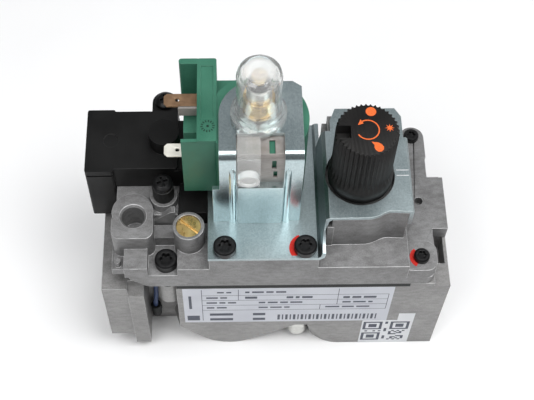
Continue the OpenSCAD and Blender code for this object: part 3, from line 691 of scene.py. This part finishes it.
# marks printed on the knob: off dot, pilot star, flame, and a plain turning arrow
DOT = disc(KNOB_X + 1.4, KNOB_Y + 6.9, 1.7)
STAR_X, STAR_Y = KNOB_X + 7.0, KNOB_Y + 0.6
STAR = [
    (STAR_X + r * cos(pi * i / 8), STAR_Y + r * sin(pi * i / 8))
    for i in range(16)
    for r in [1.55 if i % 2 == 0 else 0.6]
]
FLAME_X, FLAME_Y = KNOB_X + 3.1, KNOB_Y - 6.7
FLAME = [
    (FLAME_X + u, FLAME_Y + v)
    for u, v in [
        (-2.3, 2.2), (-1.2, 2.0), (-0.2, 1.9), (0.8, 1.3), (1.5, 0.3), (1.4, -0.8),
        (0.7, -1.5), (-0.3, -1.6), (-1.1, -1.0), (-1.5, 0.0), (-1.4, 0.9), (-1.9, 1.6),
    ]
]
ARROW_R = 3.6
ARROW_RING = arc_band(KNOB_X, KNOB_Y, ARROW_R - 0.2, ARROW_R + 0.2, -150, 120)
ARROW_TIP = [
    (KNOB_X + r * cos(radians(a)), KNOB_Y + r * sin(radians(a)))
    for r, a in [(ARROW_R - 0.9, 118), (ARROW_R + 0.9, 118), (ARROW_R, 150)]
]
knob_marks = plaques(
    "knob_marks",
    [DOT, STAR, FLAME, ARROW_RING, ARROW_TIP],
    on_top(KNOB_TOP),
    PRINT_THICK,
    ORANGE,
    "knob",
)

# ---------- printing, paint and small marks ----------

LABEL_LOW, LABEL_HIGH = box_mm("rating_label")
# the table's vertical lines from left to right, and its rows from the top
BAND_X, FIRST_X, SPLIT_X, LAST_X, TABLE_X = 35.4, 48.6, 78.5, 84.6, 102.8
ROWS_Z = [14.4, 10.2, 5.9, 1.6]
TABLE_TOP = LABEL_HIGH.z - 0.6
LINE = 0.22


def line_x(x, z):
    return rectangle(x, (z - LINE / 2, z + LINE / 2))


def line_z(x, z):
    return rectangle((x - LINE / 2, x + LINE / 2), z)


def dashes(x, z, height, widths, gap=0.9):
    """A row of plain blocks that stands for printed words."""
    made, at = [], x
    for width in widths:
        made.append(rectangle((at, at + width), (z - height / 2, z + height / 2)))
        at += width + gap
    return made


label_print = [line_z(BAND_X, (LABEL_LOW.z + 1.6, TABLE_TOP))]
label_print += [line_x((BAND_X, LAST_X), ROWS_Z[0])]
label_print += [line_x((BAND_X, TABLE_X), z) for z in ROWS_Z[1:]]
label_print += [line_x((LAST_X, TABLE_X), ROWS_Z[0])]
label_print += [
    line_z(TABLE_X, (ROWS_Z[-1], ROWS_Z[0])),
    line_z(FIRST_X, (ROWS_Z[1], TABLE_TOP)),
    line_z(LAST_X, (ROWS_Z[2], TABLE_TOP)),
    line_z(SPLIT_X, (ROWS_Z[3], ROWS_Z[2])),
]
# rows of plain blocks: (left end, middle height, block height, block widths)
WORDS = [
    (41, 16.9, 1.1, [2.4, 1.8]),
    (51, 17, 1.3, [1.6, 4.2, 2.6, 3.6]),
    (37, 12.4, 1.2, [4.2, 2.4]),
    (51, 12.4, 1.8, [4.4]),
    (66, 12.4, 1.6, [2.4, 1.4, 3.8]),
    (86.5, 12, 1.6, [2.4, 3.2, 4.6]),
    (37, 8.1, 1.2, [3.8, 2.2, 3]),
    (56, 8.1, 1.2, [2.4, 3.6, 2.8, 4.4]),
    (86.5, 7.9, 1.2, [3, 4.6, 1.6]),
    (37, 3.8, 1.2, [2.8, 3.6]),
    (56, 3.8, 1.1, [3.4, 4.2, 2]),
    (80.5, 3.8, 1.1, [5.2, 4.4, 4.8]),
    (38, -2.3, 2.0, [8.6]),
    (54, -2.3, 2.0, [4.6]),
    (38, -6.7, 2.0, [8.6]),
    (54, -6.7, 2.0, [4.6]),
]
for row in WORDS:
    label_print += dashes(*row)
# a plain row of bars, and two blocks in the left band
BARS, BAR_GAP = [0.9, 0.5] * 13, 0.75
label_print += dashes(63.2, -5.2, 4.6, BARS, BAR_GAP)
label_print += [rectangle((29.6, 34.2), (-7.4, -3.2)), rectangle((30.6, 31.6), (3, 14))]
rating_print = plaques("rating_print", label_print, on_front(LABEL_LOW.y), PRINT_THICK, INK, BODY)

CODE_LOW = box_mm("code_label")[0]
CODE_CELLS, CODE_PITCH = 17, 1.03
CODE_LEFT, CODE_FOOT = CODE_LOW.x + 0.6, CODE_LOW.z + 2.4
CORNER_CENTRES = [(3, 3), (3, CODE_CELLS - 4), (CODE_CELLS - 4, CODE_CELLS - 4)]


def dark_cell(i, k):
    """A made-up pattern with three framed corners, which carries no message."""
    for centre in CORNER_CENTRES:
        ring = max(abs(i - centre[0]), abs(k - centre[1]))
        if ring <= 4:
            return ring in (0, 1, 3)
    return (3 * i + 5 * k + i * k) % 7 < 3


code_blocks = [
    rectangle((x, x + CODE_PITCH), (z, z + CODE_PITCH))
    for i in range(CODE_CELLS)
    for k in range(CODE_CELLS)
    for x, z in [(CODE_LEFT + i * CODE_PITCH, CODE_FOOT + k * CODE_PITCH)]
    if dark_cell(i, k)
]
code_print = plaques("code_print", code_blocks, on_front(CODE_LOW.y), PRINT_THICK, INK, BODY)

BASE_LOW, BASE_HIGH = box_mm("base_plate")
INDEX_X, INDEX_YS, INDEX_HALF = (KNOB_X + 12.4, BASE_HIGH.x - 0.7), (4.8, 2.7), 0.12
INDEX_LINES = [rectangle(INDEX_X, (y - INDEX_HALF, y + INDEX_HALF)) for y in INDEX_YS]
index_lines = plaques("index_lines", INDEX_LINES, on_top(BASE_HIGH.z), LINE_THICK, WHITE_FILM, BODY)

# the date clock moulded in the coil housing's top: the shade in its relief is painted as dark green
# ticks and a dot
DATE_X, DATE_Y, DATE_TICKS = 39.2, 5.1, 14
DATE_INNER, DATE_OUTER, DATE_DOT, TICK_DEGREES = 1.5, 2.3, 0.45, 150 / 14
HOUSING_TOP = box_mm("coil_housing")[1].z
date_ring = [
    arc_band(DATE_X, DATE_Y, DATE_INNER, DATE_OUTER, a, a + TICK_DEGREES, 3)
    for a in [360 * i / DATE_TICKS for i in range(DATE_TICKS)]
] + [disc(DATE_X, DATE_Y, DATE_DOT, 10)]
date_marks = plaques(
    "date_marks", date_ring, on_top(HOUSING_TOP), PRINT_THICK, GREEN_SHADE, BODY
)

# red sealing paint beside two screw heads: on the base plate, and on the pad at the front right
PLATE_FRONT = BASE_LOW.y + 1
SEALED_SCREW, PAINT_Z, PAINT_THICK = (71.4, -18.7), 43.4, 0.06
SEALED_PAD_SCREW, PAD_Z, PAD_PAINT_THICK = (112.3, -17.4), 33, 0.05
paint_plate = [
    (x, max(y, PLATE_FRONT)) for x, y in arc_band(*SEALED_SCREW, 3.3, 5.5, 112, 232, 18)
]
paint = plaques("paint_mark_plate", [paint_plate], on_top(PAINT_Z), PAINT_THICK, RED, BODY)
paint_pad = [arc_band(*SEALED_PAD_SCREW, 2.5, 4.1, 125, 240, 10)]
pad_mark = plaques(
    "paint_mark_pad", paint_pad, on_top(PAD_Z), PAD_PAINT_THICK, RED, BODY
)

# ---------- lead ----------

# the lead's course from the casting down to its sleeve
LEAD = [
    (18.1, -12.8, 22.3),
    (18.2, -12.9, 14),
    (18.1, -13, 6),
    (17.8, -13.1, -2),
    (17.3, -13, -8),
    (17, -12.8, -14),
]
LEAD_R = 0.9


def smooth_route(points, steps=5):
    """More points on one smooth curve through the given ones."""
    padded = [points[0], *points, points[-1]]
    made = []
    for a, b, c, d in zip(padded, padded[1:], padded[2:], padded[3:]):
        a, b, c, d = (Vector(p) for p in (a, b, c, d))
        for i in range(steps):
            t = i / steps
            curve = (2 * a - 5 * b + 4 * c - d) * t**2 + (3 * b - a - 3 * c + d) * t**3
            made.append(0.5 * ((2 * b) + (c - a) * t + curve))
    return [*made, Vector(points[-1])]


lead_points = [p * MM for p in smooth_route(LEAD)]
lead_curve = bpy.data.curves.new("lead_curve", "CURVE")
lead_curve.dimensions = "3D"
lead_curve.bevel_depth = LEAD_R * MM
lead_curve.bevel_resolution = 4
lead_curve.use_fill_caps = True
spline = lead_curve.splines.new("POLY")
spline.points.add(len(lead_points) - 1)
for point, place in zip(spline.points, lead_points):
    point.co = (*place, 1.0)
lead_curve.materials.append(LOOKS["blue_lead"].material)
lead = bpy.data.objects.new("lead_finished", lead_curve)
bpy.context.scene.collection.objects.link(lead)
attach(lead, BODY)
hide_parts("lead_wire")

# ---------- floor, light and camera ----------

FLOOR_HALF = 3.0
FLOOR_Z = cad_box[0].z
FLOOR_CORNERS = [
    (x * FLOOR_HALF, y * FLOOR_HALF, FLOOR_Z) for x, y in ((-1, -1), (1, -1), (1, 1), (-1, 1))
]
floor_mesh = bpy.data.meshes.new("floor")
floor_mesh.from_pydata(FLOOR_CORNERS, [], [(0, 1, 2, 3)])
floor = bpy.data.objects.new("floor", floor_mesh)
bpy.context.scene.collection.objects.link(floor)
floor_look = Look("floor", Roughness=0.9)
floor_look.colour(floor_look.ramp(floor_look.noise(60), (249, 249, 249), (252, 252, 252)))
floor_mesh.materials.append(floor_look.material)

world = bpy.data.worlds.new("studio")
bpy.context.scene.world = world
world.use_nodes = True
nodes, links = world.node_tree.nodes, world.node_tree.links
direction = nodes.new("ShaderNodeTexCoord").outputs["Generated"]
split = nodes.new("ShaderNodeSeparateXYZ")
links.new(direction, split.inputs["Vector"])


def sky_band(axis, low, high, to_low, to_high):
    """A brightness that changes smoothly along one axis of the sky."""
    made = nodes.new("ShaderNodeMapRange")
    made.interpolation_type = "SMOOTHSTEP"
    made.inputs["From Min"].default_value = low
    made.inputs["From Max"].default_value = high
    made.inputs["To Min"].default_value = to_low
    made.inputs["To Max"].default_value = to_high
    links.new(split.outputs[axis], made.inputs["Value"])
    return made.outputs["Result"]


def sky_math(operation, first, second):
    made = nodes.new("ShaderNodeMath")
    made.operation = operation
    links.new(first, made.inputs[0])
    links.new(second, made.inputs[1])
    return made.outputs["Value"]


# the back of the room is dim on the left, the front is darker still, and the ceiling is bright;
# the camera sees a plain pale backdrop instead
front_to_back = sky_band("Y", -0.3, 0.35, 0.5, 1.0)
left_to_right = sky_band("X", -0.35, 0.25, 0.2, 0.46)
walls = sky_math("MULTIPLY", front_to_back, left_to_right)
ceiling = sky_band("Z", 0.955, 0.985, 0.0, 3.0)
room = sky_math("ADD", walls, ceiling)
BACKDROP = 0.95
seen = nodes.new("ShaderNodeMix")
seen.inputs["B"].default_value = BACKDROP
links.new(nodes.new("ShaderNodeLightPath").outputs["Is Camera Ray"], seen.inputs["Factor"])
links.new(room, seen.inputs["A"])
links.new(seen.outputs["Result"], nodes["Background"].inputs["Strength"])
SKY_TINT = (0.97, 0.98, 1.0, 1.0)
nodes["Background"].inputs["Color"].default_value = SKY_TINT

LIGHTS_AIM = (62, 0, 30)


def soft_light(name, place, size, energy):
    """A square softbox, placed and sized in mm, aimed at the middle of the valve."""
    lamp = bpy.data.lights.new(name, "AREA")
    lamp.energy, lamp.size = energy, size * MM
    made = bpy.data.objects.new(name, lamp)
    made.location = Vector(place) * MM
    aim = Vector(LIGHTS_AIM) * MM - made.location
    made.rotation_mode = "QUATERNION"
    made.rotation_quaternion = aim.to_track_quat("-Z", "Y")
    bpy.context.scene.collection.objects.link(made)


soft_light("key", (290, -120, 680), 360, 3.0)
soft_light("fill", (-190, -260, 600), 340, 1.9)

CAMERA_PLACE = (47.1, -193.5, 386.0)
ELEVATION, YAW = radians(60.5), radians(0.7)
SENSOR_MM, LENS_MM = 36.0, 76.51685
SHIFT_X = 0.0505618
CLIP_START = 0.01
look_along = Vector((sin(YAW) * cos(ELEVATION), cos(YAW) * cos(ELEVATION), -sin(ELEVATION)))
camera_data = bpy.data.cameras.new("camera")
camera_data.sensor_width = SENSOR_MM
camera_data.lens = LENS_MM
camera_data.shift_x = SHIFT_X
camera_data.clip_start = CLIP_START
camera = bpy.data.objects.new("camera", camera_data)
camera.location = Vector(CAMERA_PLACE) * MM
camera.rotation_mode = "QUATERNION"
camera.rotation_quaternion = look_along.to_track_quat("-Z", "Y")
bpy.context.scene.collection.objects.link(camera)
bpy.context.scene.camera = camera
bpy.context.scene.view_settings.view_transform = "Standard"
